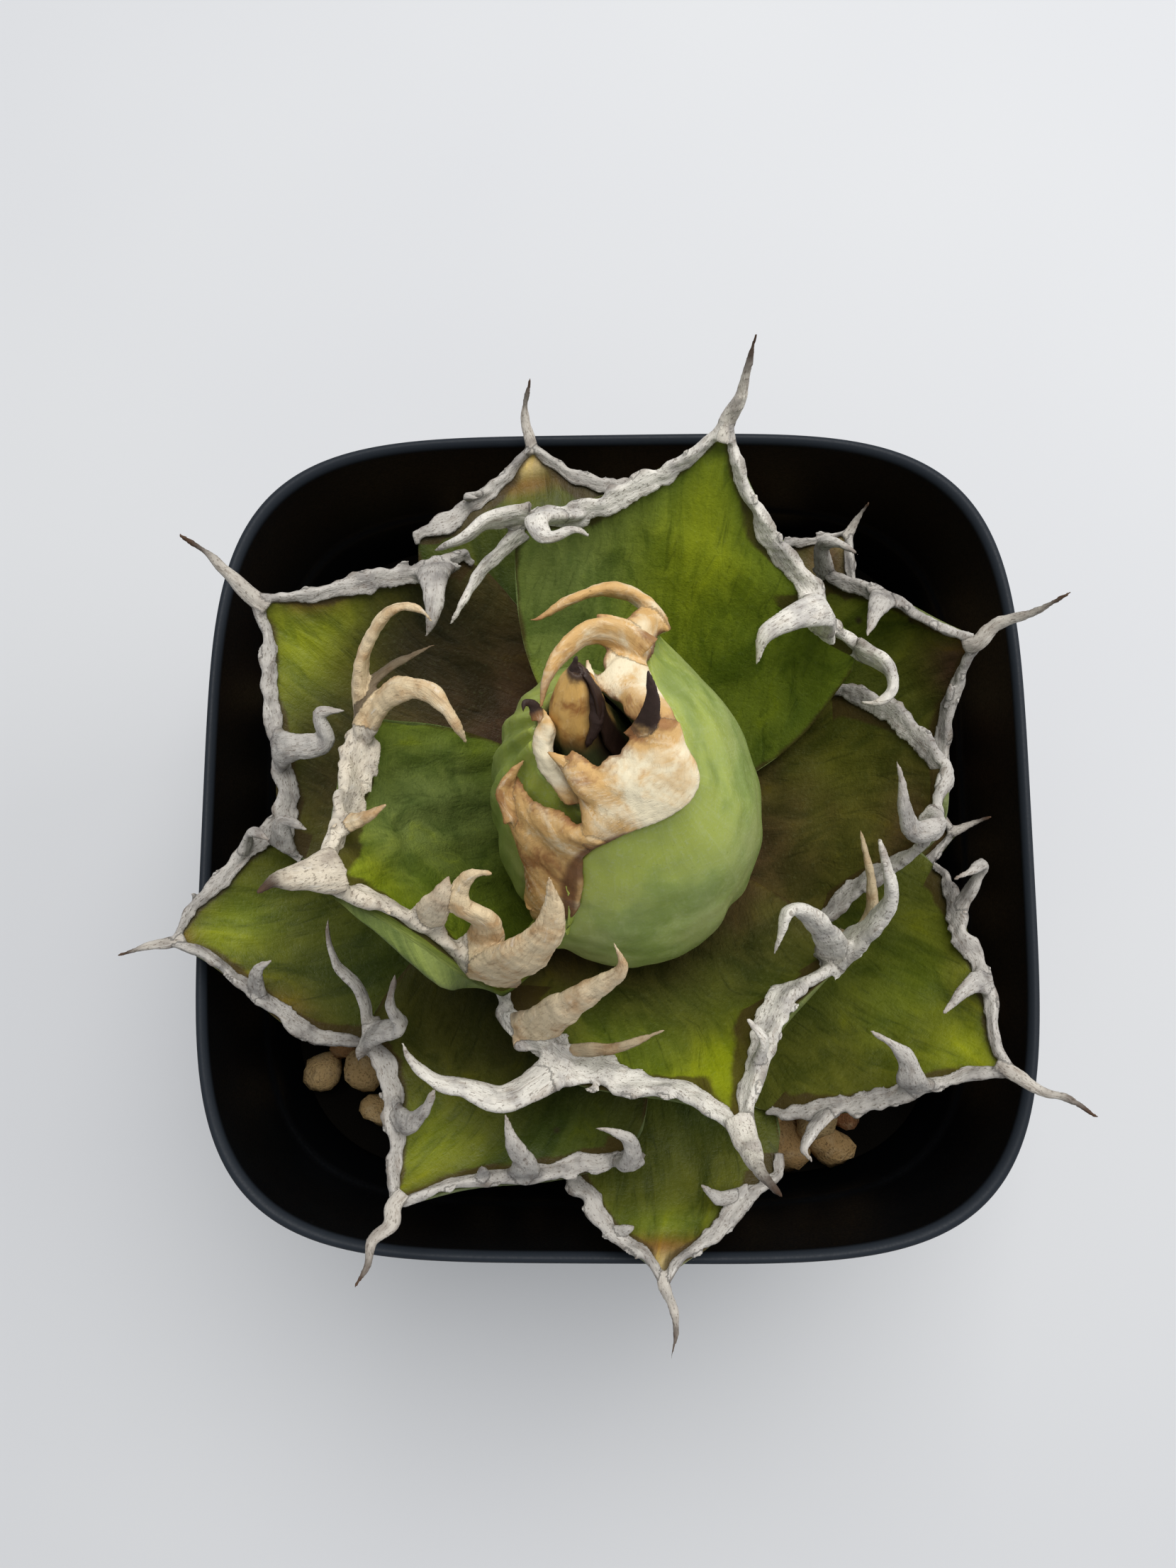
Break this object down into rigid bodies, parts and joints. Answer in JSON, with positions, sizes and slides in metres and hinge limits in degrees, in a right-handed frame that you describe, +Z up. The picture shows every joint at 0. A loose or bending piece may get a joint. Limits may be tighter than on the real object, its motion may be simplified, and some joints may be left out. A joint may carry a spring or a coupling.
{
  "type": "potted caesar agave titanota",
  "caption": "Compact agave rosette with wavy horny leaf margins, hooked teeth and a furled bud, in a rounded square black pot of mineral granules.",
  "frame": {"origin": "centre of the pot's flat bottom", "axes": "+Z up the pot and the plant, +X to the right and +Y to the top of the picture, along the pot's sides"},
  "size_m": [0.1296, 0.134, 0.1607],
  "materials": {
    "young_leaf": "pale glaucous green leaf skin with a fine bloom",
    "leaf_green": "satin green leaf skin with a yellow green glow",
    "old_leaf": "olive green leaf skin, brown purple towards its base",
    "inner_leaf": "amber brown papery leaf tip",
    "pale_horn": "weathered pale grey horn with fine dark flecks",
    "dried_horn": "dried tan horn with brown edges",
    "stem_skin": "dry brown stem skin",
    "granules": "rough baked clay granules",
    "pot_plastic": "satin black moulded plastic"
  },
  "bodies": {
    "root": {"stem": "stem_skin", "bud_second_leaf": "young_leaf", "bud_inner_leaf": "inner_leaf", "bud_outer_leaf": "young_leaf", "bud_outer_border": "dried_horn", "leaf_01_border": "pale_horn", "leaf_01_blade": "young_leaf", "leaf_02_border": "pale_horn", "leaf_02_blade": "leaf_green", "leaf_03_border": "pale_horn", "leaf_03_blade": "leaf_green", "leaf_04_border": "pale_horn", "leaf_04_blade": "leaf_green", "leaf_05_border": "pale_horn", "leaf_05_blade": "leaf_green", "leaf_06_border": "pale_horn", "leaf_06_blade": "old_leaf", "leaf_07_border": "pale_horn", "leaf_07_blade": "old_leaf", "leaf_08_border": "pale_horn", "leaf_08_blade": "old_leaf", "leaf_09_border": "pale_horn", "leaf_09_blade": "old_leaf", "leaf_10_border": "pale_horn", "leaf_10_blade": "old_leaf", "leaf_11_border": "pale_horn", "leaf_11_blade": "old_leaf", "leaf_12_border": "pale_horn", "leaf_12_blade": "old_leaf", "leaf_13_border": "pale_horn", "leaf_13_blade": "old_leaf", "soil": "granules", "pot": "pot_plastic"}
  },
  "joints": []
}
